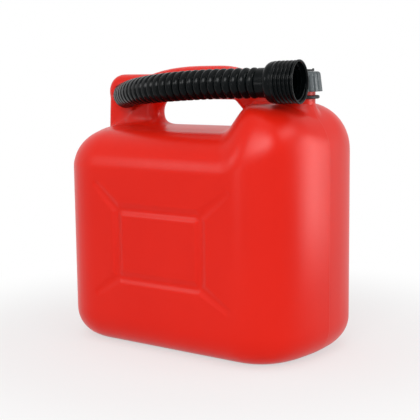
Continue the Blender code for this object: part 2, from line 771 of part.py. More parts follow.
def make_cap_seal(rubber):
    bottom = NECK_TOP + REST_GAP
    radius = THREADED_BORE_RADIUS - REST_GAP
    seal = add_object("cap_seal", turned([(radius, bottom), (radius, bottom + CAP_SEAL_THICKNESS)]),
                      rubber)
    seal.location.x = NECK_X


def washer(inner, outer, bottom, top):
    """The closed profile of a flat ring."""
    return [(inner, bottom), (outer, bottom), (outer, top), (inner, top)]


def make_leash(black):
    ring = add_object("leash_ring", turned(
        washer(RING_BORE_RADIUS, RING_RADIUS, RING_BOTTOM, RING_TOP), closed=True), black)
    disc = add_object("leash_disc", turned(
        washer(BUTTON_RADIUS + REST_GAP, DISC_RADIUS, DISC_BOTTOM, DISC_TOP), closed=True), black)
    nub_bm = turned([(NUB_RADIUS, DISC_TOP - ROOT), (NUB_RADIUS, DISC_TOP + NUB_HEIGHT)],
                    steps=NUB_STEPS)
    nub_bm.transform(Matrix.Translation((DISC_RADIUS - NUB_RADIUS - REST_GAP, 0, 0)))
    nub_bm.transform(Matrix.Rotation(math.radians(NUB_BEARING), 4, "Z"))
    nub = cutter("leash_nub", nub_bm)
    combine(disc, nub, "UNION")
    strap = add_object("leash_strap", loft(strap_sections()), black)
    for item in (ring, disc, nub, strap):
        item.location.x = NECK_X


def strap_sections():
    """The strap from the ring's edge, out around the cap's side, and in to the disc's edge."""
    low = (RING_BOTTOM + RING_TOP) / 2
    high = (DISC_BOTTOM + DISC_TOP) / 2
    line = [(RING_RADIUS + REST_GAP, low)]
    line += arc(CAP_RADIUS, low + STRAP_STANDOFF, STRAP_STANDOFF, STRAP_STANDOFF, 270, 360,
                STRAP_STEPS)
    line += arc(CAP_RADIUS, high - STRAP_STANDOFF, STRAP_STANDOFF, STRAP_STANDOFF, 0, 90,
                STRAP_STEPS)
    line.append((DISC_RADIUS + REST_GAP, high))
    bearing = math.radians(STRAP_BEARING)
    outward = Vector((math.cos(bearing), math.sin(bearing), 0))
    across = Vector((-outward.y, outward.x, 0)) * (STRAP_WIDTH / 2)
    sections = []
    for index, (reach, z) in enumerate(line):
        before = Vector(line[max(0, index - 1)])
        after = Vector(line[min(len(line) - 1, index + 1)])
        run = (after - before).normalized()
        middle = outward * reach + Vector((0, 0, z))
        normal = (outward * -run.y + Vector((0, 0, run.x))) * (STRAP_THICKNESS / 2)
        sections.append([middle - across - normal, middle + across - normal,
                         middle + across + normal, middle - across + normal])
    return sections


def socket_profile():
    """The socket's section: ridged grip, round shoulder, sleeve for the hose, throat and bore."""
    foot = SOCKET_RADIUS - SOCKET_RIDGE_DEPTH
    profile = [(SOCKET_RADIUS - ROOT, 0.0), (SOCKET_RADIUS, ROOT), (SOCKET_RADIUS, SOCKET_LIP)]
    for ridge in range(SOCKET_RIDGES):
        start = SOCKET_LIP + SOCKET_RIDGE_PITCH * ridge
        for place, depth in zip(RIDGE_PLACE_SHARES, RIDGE_DEPTH_SHARES):
            profile.append((SOCKET_RADIUS - SOCKET_RIDGE_DEPTH * depth,
                            start + SOCKET_RIDGE_PITCH * place))
    sleeve = CUFF_RADIUS + REST_GAP
    edge = sleeve + SOCKET_REAR_EDGE
    round_start = SOCKET_LENGTH - SOCKET_ROUND
    profile.append((foot, SOCKET_RIDGES_END + (round_start - SOCKET_RIDGES_END) / 2))
    profile += arc(edge, round_start, foot - edge, SOCKET_ROUND, 0, 90, SOCKET_ROUND_STEPS)
    profile += [(sleeve, SOCKET_LENGTH), (sleeve, SEAT_END), (SOCKET_THROAT_RADIUS, SEAT_END),
                (SOCKET_THROAT_RADIUS, SOCKET_BORE_DEPTH), (THREADED_BORE_RADIUS, SOCKET_BORE_DEPTH),
                (THREADED_BORE_RADIUS, 0.0)]
    return profile


def make_spout(black, rubber, route):
    socket = add_object("spout_socket", along_spout(
        turned(socket_profile(), closed=True, steps=SOCKET_STEPS), route), black)
    ridge = cutter("socket_thread", along_spout(
        thread(THREADED_BORE_RADIUS, -THREAD_HEIGHT, SOCKET_LIP), route))
    combine(socket, ridge, "UNION")

    seal_end = SOCKET_BORE_DEPTH - REST_GAP
    seal_radius = THREADED_BORE_RADIUS - REST_GAP
    add_object("spout_seal", along_spout(turned(
        washer(seal_radius - SPOUT_SEAL_WIDTH, seal_radius, seal_end - SPOUT_SEAL_THICKNESS, seal_end),
        closed=True), route), rubber)

    hose = add_object("spout_hose", tube(route, hose_stations(route), HOSE_SIDES), black)
    bore = cutter("hose_bore", tube(route, even_stations(
        HOSE_START - OVERRUN, route[-1][0] + OVERRUN, HOSE_BORE_RADIUS, BORE_STEPS), HOSE_SIDES))
    combine(hose, bore, "DIFFERENCE")


def main():
    clear_scene()
    red = plastic("red polyethylene", RED, 0.38)
    grey = plastic("grey polypropylene", GREY, 0.45)
    black = plastic("black polyethylene", BLACK, 0.25)
    leash_black = plastic("black leash plastic", LEASH_BLACK, 0.4)
    rubber = plastic("black rubber", RUBBER_BLACK, 0.8)
    route = spout_route()
    make_tank(red, route)
    make_cap(grey)
    make_cap_seal(rubber)
    make_leash(leash_black)
    make_spout(black, rubber, route)


main()
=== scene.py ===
"""A ten litre fuel canister on a plain pale floor: its tank, neck, screw cap, leash and spout."""

import json
import math

import bpy
from mathutils import Matrix, Vector

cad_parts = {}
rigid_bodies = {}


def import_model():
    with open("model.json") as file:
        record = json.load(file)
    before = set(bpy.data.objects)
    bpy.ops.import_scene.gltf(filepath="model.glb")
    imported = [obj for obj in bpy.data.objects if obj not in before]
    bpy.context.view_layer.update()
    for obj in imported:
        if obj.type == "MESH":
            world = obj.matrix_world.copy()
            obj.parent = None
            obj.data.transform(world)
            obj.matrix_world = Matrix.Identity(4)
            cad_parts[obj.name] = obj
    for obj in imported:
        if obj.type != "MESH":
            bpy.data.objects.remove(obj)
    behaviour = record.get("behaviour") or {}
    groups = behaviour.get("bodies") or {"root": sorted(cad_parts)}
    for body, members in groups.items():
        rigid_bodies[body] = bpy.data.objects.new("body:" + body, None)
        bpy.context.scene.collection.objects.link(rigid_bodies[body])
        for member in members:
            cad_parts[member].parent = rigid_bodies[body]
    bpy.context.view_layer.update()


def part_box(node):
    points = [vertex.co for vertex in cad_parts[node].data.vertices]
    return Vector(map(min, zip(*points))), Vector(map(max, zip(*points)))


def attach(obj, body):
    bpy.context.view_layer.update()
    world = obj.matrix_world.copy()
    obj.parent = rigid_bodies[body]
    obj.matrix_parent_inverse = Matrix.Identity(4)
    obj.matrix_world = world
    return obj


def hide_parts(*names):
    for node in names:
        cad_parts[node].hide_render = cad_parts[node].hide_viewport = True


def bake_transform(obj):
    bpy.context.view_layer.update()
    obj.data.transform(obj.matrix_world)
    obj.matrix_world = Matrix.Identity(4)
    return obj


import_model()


# Tank. A blow-moulded polyethylene shell in one piece with its hollow carrying handle. Two mould
# halves meet on a line along its middle, and pressed channels stiffen its two broad faces.

tank_length = 0.2970
tank_width = 0.1758
corner_radius = 0.0622
base_edge = 0.0306
deck = 0.2305
deck_edge = 0.0428
deck_sink = 0.0009
crown_radius = 0.35
crown_half_width = 0.045
neck_x = 0.1113
shoulder_edge = 0.0490
shoulder_rise = 0.0245
shoulder_reach = 0.0632
shoulder_run = 0.0255
shoulder_spread = 0.6
coarse_grid = 0.0030
fine_grid = 0.0021


def only(item):
    """Leaves one object selected and active."""
    bpy.ops.object.select_all(action="DESELECT")
    item.select_set(True)
    bpy.context.view_layer.objects.active = item


def edit(item, kind, chosen):
    """Opens an object in edit mode with the edges or faces that answer a test selected."""
    only(item)
    bpy.ops.object.mode_set(mode="EDIT")
    bpy.ops.mesh.select_mode(type=kind)
    bpy.ops.mesh.select_all(action="DESELECT")
    bpy.ops.object.mode_set(mode="OBJECT")
    verts = item.data.vertices
    for part in (item.data.edges if kind == "EDGE" else item.data.polygons):
        part.select = chosen([verts[index].co for index in part.vertices])
    bpy.ops.object.mode_set(mode="EDIT")


def finish_modifier(item, kind, **settings):
    """Adds a modifier to an object and applies it."""
    only(item)
    step = item.modifiers.new(kind.lower(), kind)
    for name, value in settings.items():
        setattr(step, name, value)
    bpy.ops.object.modifier_apply(modifier=step.name)


def block(name, size, middle_height):
    """A plain block around the upright line through the origin."""
    bpy.ops.object.select_all(action="DESELECT")
    bpy.ops.mesh.primitive_cube_add(size=1.0, location=(0, 0, middle_height))
    item = bpy.context.object
    item.name = name
    item.scale = size
    bpy.ops.object.transform_apply(location=True, rotation=False, scale=True)
    return item


def round_edges(item, radius, segments, chosen):
    """Rounds the edges that answer a test."""
    edit(item, "EDGE", chosen)
    bpy.ops.mesh.bevel(offset=radius, segments=segments, affect="EDGES", clamp_overlap=False)
    bpy.ops.object.mode_set(mode="OBJECT")


def refine(item, chosen, grown=False):
    """Divides the faces that answer a test, and where grown is set the faces around them."""
    edit(item, "FACE", chosen)
    if grown:
        bpy.ops.mesh.select_more()
    bpy.ops.mesh.subdivide(number_cuts=1)
    bpy.ops.object.mode_set(mode="OBJECT")


def smooth_step(share):
    """Eases a share in and out, and holds it between 0 and 1."""
    share = min(1.0, max(0.0, share))
    return share * share * (3.0 - 2.0 * share)


def shoulder_share(x, y):
    """0 on the low deck, rising to 1 on the shoulder around the neck."""
    reach = math.hypot(max(0.0, neck_x - x), shoulder_spread * y)
    return smooth_step((shoulder_reach - reach) / shoulder_run)


def edge_rounding(x, y):
    """The radius of the top's edge, which is larger around the shoulder."""
    return deck_edge + (shoulder_edge - deck_edge) * shoulder_share(x, y)


def top_height(x, y):
    """Height of the tank's crowned top, with its rounding towards the sides."""
    beyond_x = max(0.0, abs(x) - (tank_length / 2 - corner_radius))
    beyond_y = max(0.0, abs(y) - (tank_width / 2 - corner_radius))
    inset = corner_radius - math.hypot(beyond_x, beyond_y)
    radius = edge_rounding(x, y)
    across = min(radius, max(0.0, radius - inset))
    drop = radius - math.sqrt(radius * radius - across * across)
    share = shoulder_share(x, y)
    crown = deck_sink + min(abs(y), crown_half_width) ** 2 / (2 * crown_radius)
    return deck + shoulder_rise * share - (1 - share) * crown - drop


tank = block("tank", (tank_length, tank_width, deck), deck / 2)
round_edges(tank, corner_radius, 24, lambda ends: abs(ends[0].z - ends[1].z) > deck / 2)
round_edges(tank, base_edge, 12, lambda ends: max(end.z for end in ends) < base_edge / 2)
round_edges(tank, deck_edge, 16, lambda ends: min(end.z for end in ends) > deck - base_edge / 2)
finish_modifier(tank, "REMESH", mode="VOXEL", voxel_size=coarse_grid)

# The shoulder is drawn up around the neck, and the walls below it with it
wall_top = deck - deck_edge
stretch_foot = 0.120
wall_run = wall_top - stretch_foot
for vert in tank.data.vertices:
    x, y, z = vert.co
    if z > wall_top + coarse_grid:
        vert.co.z = top_height(x, y)
    elif z > stretch_foot:
        lifted = deck + shoulder_rise * shoulder_share(x, y) - edge_rounding(x, y)
        vert.co.z = stretch_foot + (z - stretch_foot) * (lifted - stretch_foot) / wall_run


def solid(name, rings, closed=False):
    """An object whose skin joins equal rings of points, with its ends shut or joined."""
    count = len(rings[0])
    points = [point for ring in rings for point in ring]
    faces = []
    for ring in range(len(rings) if closed else len(rings) - 1):
        here = ring * count
        there = (ring + 1) % len(rings) * count
        for side in range(count):
            after = (side + 1) % count
            faces.append((here + side, here + after, there + after, there + side))
    if not closed:
        faces.append(tuple(reversed(range(count))))
        faces.append(tuple(range(len(points) - count, len(points))))
    mesh = bpy.data.meshes.new(name)
    mesh.from_pydata(points, [], faces)
    item = bpy.data.objects.new(name, mesh)
    bpy.context.scene.collection.objects.link(item)
    only(item)
    bpy.ops.object.mode_set(mode="EDIT")
    bpy.ops.mesh.select_all(action="SELECT")
    bpy.ops.mesh.normals_make_consistent(inside=False)
    bpy.ops.object.mode_set(mode="OBJECT")
    return item


def arc(middle_a, middle_b, radius_a, radius_b, start, end, steps):
    """Points on part of an ellipse, between two bearings in degrees."""
    turns = [math.radians(start + (end - start) * step / steps) for step in range(steps + 1)]
    return [Vector((middle_a + radius_a * math.cos(turn), middle_b + radius_b * math.sin(turn)))
            for turn in turns]


# The handle's outline, seen from the side: rear post, grip, front root and the finger gap
handle_width = 0.0276
handle_edge = 0.0122
leg_foot = 0.2121
post_rear = -0.1349
post_top = 0.2841
post_corner = 0.0184
post_corner_inset = 0.0209
grip_top = 0.2927
grip_crest_x = 0.0122
grip_length = 0.0856
grip_steps = 12
root_start_x = 0.0184
root_foot = 0.2448
root_length = 0.0693
leg_front = 0.0877
leg_rear = 0.0632
leg_top = 0.2336
gap_front = 0.0388
gap_rear = -0.0485
gap_top = 0.2575
gap_corner = 0.0148
handle_outline = [Vector((post_rear, leg_foot)), Vector((post_rear, deck))]
handle_outline += arc(post_rear + post_corner_inset, post_top - post_corner,
                      post_corner, post_corner, 180, 90, 10)
for step in range(grip_steps + 1):
    left = 1 - step / grip_steps
    handle_outline.append(Vector((grip_crest_x - grip_length * left,
                                  grip_top + (post_top - grip_top) * left ** 3)))
handle_outline += arc(root_start_x, root_foot, root_length, grip_top - root_foot, 90, 0, 18)
handle_outline += [Vector(point) for point in (
    (leg_front, leg_foot), (leg_rear, leg_foot), (leg_rear, leg_top), (gap_front, gap_top))]
handle_outline += arc(gap_rear, gap_top - gap_corner, gap_corner, gap_corner, 90, 235, 14)
handle_outline.append(Vector((handle_outline[-1].x, leg_foot)))


def inset_outline(points, distance, sharpest=0.35):
    """Moves each corner of a clockwise outline inwards by the same distance."""
    moved = []
    for index, here in enumerate(points):
        before = (here - points[index - 1]).normalized()
        after = (points[(index + 1) % len(points)] - here).normalized()
        normal_before = Vector((before.y, -before.x))
        normal_after = Vector((after.y, -after.x))
        middle = (normal_before + normal_after).normalized()
        moved.append(here + middle * (distance / max(sharpest, middle.dot(normal_after))))
    return moved


near_rings = []
for across, out in arc(handle_edge - handle_width / 2, -handle_edge, handle_edge, handle_edge,
                       180, 90, 7):
    near_rings.append([Vector((x, across, z)) for x, z in inset_outline(handle_outline, -out)])
far_rings = [[Vector((x, -y, z)) for x, y, z in ring] for ring in reversed(near_rings)]
handle = solid("handle", near_rings + far_rings)

# The stowed spout's line, which the hollow in the rear post follows. Its directions are degrees
# sideways and downwards, and its long middle has three parts that share what the ends leave
mouth_direction = (9.0, 1.3)
tail_direction = (-36.0, 6.4)
mouth_straight = 0.0522
tail_straight = 0.0300
middle_shares = (0.16, 0.30, 0.54)
bend_steps = 60
mouth_ahead = 0.0297
mouth_aside = 0.0464
mouth_height = 0.2763
height_taken_behind = 0.0215
tail_x = -0.1125


def spout_line():
    """Steps along the spout's middle, from mouth to end: length so far, place, direction."""
    level = (0.0, mouth_direction[1])
    sinking = (0.0, (mouth_direction[1] + tail_direction[1]) / 2)
    bends = [(mouth_straight, mouth_direction, mouth_direction),
             (middle_shares[0], mouth_direction, level),
             (middle_shares[1], level, sinking),
             (middle_shares[2], sinking, tail_direction),
             (tail_straight, tail_direction, tail_direction)]
    legs = []
    for _, start, end in bends:
        leg = []
        for step in range(bend_steps):
            share = (step + 0.5) / bend_steps
            heading = math.radians(start[0] + (end[0] - start[0]) * share)
            droop = math.radians(start[1] + (end[1] - start[1]) * share)
            leg.append(Vector((-math.cos(heading) * math.cos(droop),
                               -math.sin(heading) * math.cos(droop), -math.sin(droop))))
        legs.append(leg)
    advance = [-sum(direction.x for direction in leg) / bend_steps for leg in legs]
    heading = math.radians(mouth_direction[0])
    place = Vector((neck_x + mouth_ahead,
                    mouth_ahead * math.tan(heading) - mouth_aside / math.cos(heading),
                    mouth_height
                    + height_taken_behind * math.tan(math.radians(mouth_direction[1]))))
    reach = place.x - tail_x - mouth_straight * advance[0] - tail_straight * advance[4]
    middle = reach / sum(bends[leg][0] * advance[leg] for leg in (1, 2, 3))
    along = 0.0
    line = [(along, place, legs[0][0])]
    for index, leg in enumerate(legs):
        length = bends[index][0] * (middle if index in (1, 2, 3) else 1.0)
        for direction in leg:
            along += length / bend_steps
            place = place + direction * (length / bend_steps)
            line.append((along, place, direction))
    return line


spout = spout_line()
spout_end, tail_place, _ = spout[-1]


def on_spout(along):
    """The place at a length along the spout, with the axes across, up and along it."""
    for (start, place, _), (end, _, direction) in zip(spout, spout[1:]):
        if along <= end:
            break
    else:
        start, place, direction = spout[-1]
    side = direction.cross(Vector((0, 0, 1))).normalized()
    return place + direction * (along - start), side, direction.cross(side), direction


def spout_ring(along, radius, sides=64):
    """A ring of points around the spout's middle at a length along it."""
    place, side, lift, _ = on_spout(along)
    turns = [math.tau * (step + 0.5) / sides for step in range(sides)]
    return [place + side * (radius * math.cos(turn)) + lift * (radius * math.sin(turn))
            for turn in turns]


def cut_away(item, cutter):
    """Cuts one solid out of another and removes it."""
    finish_modifier(item, "BOOLEAN", operation="DIFFERENCE", object=cutter, solver="EXACT")
    bpy.data.objects.remove(cutter, do_unlink=True)


# The post's near side steps back below the spout's end, along a slanting edge
step_rear = -0.1366
step_front = -0.1132
step_slant = 1.206
slant_height = 0.2285
step_outer, step_inner = -0.0178, -0.0082
step_outline = [(step_rear, leg_foot), (step_rear, tail_place.z),
                (step_front + step_slant * (tail_place.z - slant_height), tail_place.z),
                (step_front + step_slant * (leg_foot - slant_height), leg_foot)]
cut_away(handle, solid("post_step", [[Vector((x, y, z)) for x, z in step_outline]
                                     for y in (step_outer, step_inner)]))


def fuse(item, other):
    """Makes a second object part of the first."""
    only(item)
    other.select_set(True)
    bpy.ops.object.join()


# Body and handle are fused into one skin, whose inner corners are drawn round by the mould
fuse(tank, handle)
finish_modifier(tank, "REMESH", mode="VOXEL", voxel_size=fine_grid)


def soften(item, passes, weight):
    """Evens a skin out, where a weight from 0 to 1 is given for each vertex."""
    group = item.vertex_groups.new(name="softened")
    for vert, share in zip(item.data.vertices, weight):
        group.add([vert.index], share, "REPLACE")
    finish_modifier(item, "SMOOTH", factor=0.5, iterations=passes, vertex_group="softened")
    item.vertex_groups.clear()


def hollowness(item, foot, full=0.00004):
    """For each vertex above a height, 1 in an inner corner and 0 on a flat or an outer one."""
    mesh = item.data
    around_it = [Vector() for _ in mesh.vertices]
    count = [0] * len(mesh.vertices)
    for edge in mesh.edges:
        a, b = edge.vertices
        around_it[a] += mesh.vertices[b].co
        around_it[b] += mesh.vertices[a].co
        count[a] += 1
        count[b] += 1
    shares = []
    for vert, total, number in zip(mesh.vertices, around_it, count):
        depth = (total / number - vert.co).dot(vert.normal)
        shares.append(smooth_step(depth / full) if vert.co.z > foot else 0.0)
    return shares


foot_front = -0.085
foot_near = -0.003
foot_low, foot_high = 0.220, 0.268


def at_post_foot(place):
    """1 where the rear post's near side runs out into the deck, and 0 elsewhere."""
    return (smooth_step((foot_front - place.x) / 0.012)
            * smooth_step((foot_near - place.y) / 0.003)
            * smooth_step((place.z - foot_low) / 0.008)
            * smooth_step((foot_high - place.z) / 0.008))


soft_from = 0.195
soft_run = 0.025
soft_below = 0.3
corners_from = 0.224
soften(tank, 7, [soft_below + 0.7 * smooth_step((vert.co.z - soft_from) / soft_run)
                 for vert in tank.data.vertices])
for _ in range(5):
    soften(tank, 14, hollowness(tank, corners_from))
soften(tank, 9, [at_post_foot(vert.co) for vert in tank.data.vertices])

# The skin rises around the neck in a flare, longer in front, where the shoulder falls away
collar_radius = 0.0178
flare_top = 0.2588
flare_reach = 0.0045
flare_foot = 0.225
flare_area = 0.034
flare_curve = 2.2
lack_to_reach, lack_to_rise = 0.25, 0.5


def flare_size(x, y):
    """How far the flare spreads in the direction of a place, and how high it rises there."""
    out = Vector((x - neck_x, y))
    out = out.normalized() if out.length > 0.001 else Vector((1, 0))
    lack = deck + shoulder_rise - top_height(neck_x + out.x * collar_radius, out.y * collar_radius)
    return (flare_reach + lack_to_reach * lack,
            flare_top - deck - shoulder_rise + lack_to_rise * lack)


def near_neck(corners):
    """Whether a face lies where the skin rises into the flare."""
    x, y, z = corners[0]
    return z > flare_foot and math.hypot(x - neck_x, y) < flare_area


refine(tank, near_neck)
for vert in tank.data.vertices:
    x, y, z = vert.co
    reach, rise = flare_size(x, y)
    from_axis = math.hypot(x - neck_x, y)
    if z > flare_foot and from_axis < collar_radius + reach:
        share = min(1.0, (collar_radius + reach - from_axis) / reach)
        vert.co.z += rise * share ** flare_curve

# The hollow for the spout's end, which narrows a little over its inner half
pocket_reach = 0.045
pocket_length = 0.0435
pocket_radius = 0.0150
pocket_narrowing = 0.0012
pocket_steps = 12
pocket_half = pocket_steps // 2
pocket_rings = []
for step in range(pocket_steps + 1):
    radius = pocket_radius - pocket_narrowing * smooth_step((step - pocket_half) / pocket_half)
    pocket_rings.append(spout_ring(
        spout_end - pocket_reach + pocket_length * step / pocket_steps, radius))
cut_away(tank, solid("pocket", pocket_rings))

# The tank's inside, and the bore that opens it
inside_size = (0.250, 0.130, 0.180)
inside_middle = 0.105
inside_edge = 0.030
bore_radius = 0.0139
bore_length = 0.095
bore_middle = 0.2175
inside = block("inside", inside_size, inside_middle)
round_edges(inside, inside_edge, 6, lambda ends: True)
bpy.ops.object.select_all(action="DESELECT")
bpy.ops.mesh.primitive_cylinder_add(vertices=64, radius=bore_radius, depth=bore_length,
                                    location=(neck_x, 0, bore_middle))
bore = bpy.context.object
finish_modifier(inside, "BOOLEAN", operation="UNION", object=bore, solver="EXACT")
bpy.data.objects.remove(bore, do_unlink=True)
cut_away(tank, inside)

# Pressed channels: a rounded frame, and a tapering ray from each of its corners
panel_x = 0.0538
panel_z = 0.0358
panel_middle = 0.1113
panel_corner = 0.006
channel_half_width = 0.0080
frame_depth = 0.0024
ray_depth = 0.0023
ray_rise = 0.0014
ray_narrowing = 0.0024
ray_ends = [(-0.0816, 0.0571), (0.0857, 0.0571), (0.0857, 0.1714), (-0.0816, 0.1714)]
channels_join = 6
broad_face = tank_width / 2 - 0.003


def channel_depth(x, z):
    """How deep the channels are pressed at a place on a broad face."""
    out_x = abs(x) - panel_x + panel_corner
    out_z = abs(z - panel_middle) - panel_z + panel_corner
    edge = (math.hypot(max(0.0, out_x), max(0.0, out_z)) + min(0.0, max(out_x, out_z))
            - panel_corner)
    depth = frame_depth * smooth_step((channel_half_width - abs(edge)) / channel_half_width)
    here = Vector((x, z))
    for end_x, end_z in ray_ends:
        start = Vector((math.copysign(panel_x, end_x),
                        panel_middle + math.copysign(panel_z, end_z - panel_middle)))
        run = Vector((end_x, end_z)) - start
        share = min(1.0, max(0.0, (here - start).dot(run) / run.length_squared))
        off = (here - start - run * share).length
        half_width = channel_half_width - ray_narrowing * share
        ray = (ray_depth - ray_rise * share) * smooth_step((half_width - off) / half_width)
        depth = (depth ** channels_join + ray ** channels_join) ** (1 / channels_join)
    return depth


def on_channel(corners):
    """Whether a face lies on a pressed channel."""
    x, y, z = corners[0]
    return abs(y) > broad_face and channel_depth(x, z) > 0.00001


# The tank's ends fall back on both sides of a faint ridge in their middle
ridge_half_width = 0.0257
ridge_slope = 0.035
ridge_drop = 0.0010
flank_slope = 0.078
end_from = 0.100
end_half_width = 0.070
end_fade = 0.044
end_top = 0.247
end_top_fade = 0.040


def end_bow(y, z):
    """How far an end face falls back at a place, fading out at its sides and its top."""
    aside = abs(y)
    on_ridge = min(aside, ridge_half_width) / ridge_half_width
    bow = (ridge_slope * aside + ridge_drop * on_ridge ** 2
           + flank_slope * max(0.0, aside - ridge_half_width))
    share = (smooth_step((end_half_width - aside) / end_fade)
             * smooth_step((end_top - z) / end_top_fade))
    return bow * share


refine(tank, on_channel, grown=True)
for vert in tank.data.vertices:
    x, y, z = vert.co
    if abs(y) > broad_face:
        vert.co.y -= math.copysign(channel_depth(x, z), y)
    elif abs(x) > end_from:
        vert.co.x -= math.copysign(end_bow(y, z), x)
only(tank)
bpy.ops.object.shade_smooth_by_angle(angle=math.radians(50))


class Amount:
    """A node's output, often a number that changes over a surface. Sums on it add Math nodes."""

    def __init__(self, tree, socket):
        self.tree = tree
        self.socket = socket

    def math(self, operation, *values):
        """Adds a Math node on up to three values or links."""
        return self.tree.add("ShaderNodeMath", {"operation": operation}, dict(enumerate(values)))

    def __add__(self, other):
        return self.math("ADD", self, other)

    def __radd__(self, other):
        return self.math("ADD", other, self)

    def __sub__(self, other):
        return self.math("SUBTRACT", self, other)

    def __rsub__(self, other):
        return self.math("SUBTRACT", other, self)

    def __mul__(self, other):
        return self.math("MULTIPLY", self, other)

    def __rmul__(self, other):
        return self.math("MULTIPLY", other, self)

    def __abs__(self):
        return self.math("ABSOLUTE", self)

    def step(self, low, high):
        """Rises smoothly from 0 at low to 1 at high."""
        return self.tree.add("ShaderNodeMapRange", {"interpolation_type": "SMOOTHSTEP"},
                             {"Value": self, "From Min": low, "From Max": high})


class Tree:
    """The nodes of a finish or of the surround."""

    def __init__(self, node_tree):
        self.nodes = node_tree.nodes
        self.links = node_tree.links

    def set(self, node, name, value):
        """Sets a node's socket to a value, or links it to an amount."""
        if isinstance(value, Amount):
            self.links.new(value.socket, node.inputs[name])
        else:
            node.inputs[name].default_value = value

    def add(self, kind, settings, values, output=0):
        """Adds a node, sets it up, fills its sockets, and gives one of its outputs."""
        node = self.nodes.new(kind)
        for name, value in settings.items():
            setattr(node, name, value)
        for name, value in values.items():
            self.set(node, name, value)
        return Amount(self, node.outputs[output])


class Finish(Tree):
    """The finish of one kind of plastic or rubber, or of the floor."""

    def __init__(self, name, colour, roughness, specular):
        self.material = bpy.data.materials.new(name)
        self.material.use_nodes = True
        super().__init__(self.material.node_tree)
        self.shader = self.nodes["Principled BSDF"]
        self.surface("Base Color", (*colour, 1.0))
        self.surface("Roughness", roughness)
        self.surface("Specular IOR Level", specular)
        self.place = self.add("ShaderNodeTexCoord", {}, {}, "Object")

    def surface(self, name, value):
        """Sets or links one of the shader's own sockets."""
        self.set(self.shader, name, value)

    def along(self, axis):
        """The place on a surface along one axis."""
        return self.add("ShaderNodeSeparateXYZ", {}, {"Vector": self.place}, axis)

    def noise(self, scale, detail=2.0, stretch=(1.0, 1.0, 1.0)):
        """Soft noise from 0 to 1, with scale in lumps per metre."""
        place = self.add("ShaderNodeMapping", {}, {"Vector": self.place, "Scale": stretch})
        return self.add("ShaderNodeTexNoise", {},
                        {"Vector": place, "Scale": scale, "Detail": detail}, "Fac")

    def blend(self, share, first, second):
        """A colour between two, by share."""
        return self.add("ShaderNodeMix", {"data_type": "RGBA"},
                        {"Factor": share, 6: (*first, 1.0), 7: (*second, 1.0)}, 2)

    def height(self, value):
        """Bumps the surface by a height in metres."""
        self.surface("Normal", self.add(
            "ShaderNodeBump", {}, {"Height": value, "Distance": 1.0, "Strength": 1.0}, "Normal"))

    def put_on(self, item, slot):
        """Gives a piece this finish. The slot, the record's slot that it stands for, is not used.
        """
        item.data.materials.clear()
        item.data.materials.append(self.material)


drawn_out = (1.0, 1.0, 0.12)
red_light = (0.815, 0.0165, 0.0060)
red_deep = (0.785, 0.0140, 0.0048)
red = Finish("red_polyethylene", red_light, 0.3, 0.14)
cloud = red.noise(9.0, 3.0)
flow = red.noise(140.0, 2.0, drawn_out)
grain = red.noise(1400.0, 1.0)
red.surface("Base Color", red.blend(cloud.step(0.3, 0.7), red_deep, red_light))
red.surface("Roughness", 0.27 + 0.04 * cloud + 0.05 * flow)
mould_line = 1 - abs(red.along("Y")).step(0.0001, 0.0007)
red.height(0.00012 * mould_line + 0.00002 * flow + 0.000010 * grain)
red.put_on(tank, "tank_plastic")
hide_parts("tank_shell")
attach(tank, "canister")


# Neck. It is moulded with the tank: a smooth collar above the flare, and a coarse outer thread
# that the cap screws on. It is modelled apart from the tank because its detail is finer.

neck_foot = 0.2380
neck_top = 0.2819
neck_bore = 0.0140
core_radius = 0.0165
collar_top = 0.2662
collar_slope = 0.0013
thread_height = 0.0014
thread_pitch = 0.0040
thread_turns = 2.25
thread_bearing = 2.0
thread_steps = 60
thread_sunk = 0.0006
thread_rises = (0.0009, 0.00065, 0.0004)
neck_thread_start = 0.2698


def turned(name, profile, steps, middle):
    """Spins a closed outline of (radius, height) points about the upright line at a middle."""
    count = len(profile)
    mesh = bpy.data.meshes.new(name)
    mesh.from_pydata([(middle[0] + radius, middle[1], z) for radius, z in profile],
                     [(index, (index + 1) % count) for index in range(count)], [])
    item = bpy.data.objects.new(name, mesh)
    bpy.context.scene.collection.objects.link(item)
    only(item)
    bpy.ops.object.mode_set(mode="EDIT")
    bpy.ops.mesh.select_all(action="SELECT")
    bpy.ops.mesh.spin(steps=steps, angle=math.tau, center=(*middle, 0.0), axis=(0, 0, 1))
    bpy.ops.mesh.select_all(action="SELECT")
    bpy.ops.mesh.remove_doubles(threshold=0.000002)
    bpy.ops.mesh.normals_make_consistent(inside=False)
    bpy.ops.object.mode_set(mode="OBJECT")
    bpy.ops.object.shade_smooth_by_angle(angle=math.radians(40))
    return item


def eased(corners, steps=3):
    """Rounds the corners of a closed outline of (radius, height, rounding) points."""
    points = []
    for index, (a, b, rounding) in enumerate(corners):
        here = Vector((a, b))
        if not rounding:
            points.append(here)
            continue
        before = Vector(corners[index - 1][:2]) - here
        after = Vector(corners[(index + 1) % len(corners)][:2]) - here
        half_angle = before.angle(after) / 2
        reach = min(rounding / math.tan(half_angle), 0.48 * before.length, 0.48 * after.length)
        radius = reach * math.tan(half_angle)
        middle = here + (before.normalized() + after.normalized()).normalized() * (
            radius / math.sin(half_angle))
        start = here + before.normalized() * reach - middle
        end = here + after.normalized() * reach - middle
        for step in range(steps + 1):
            points.append(middle + start.lerp(end, step / steps).normalized() * radius)
    return points


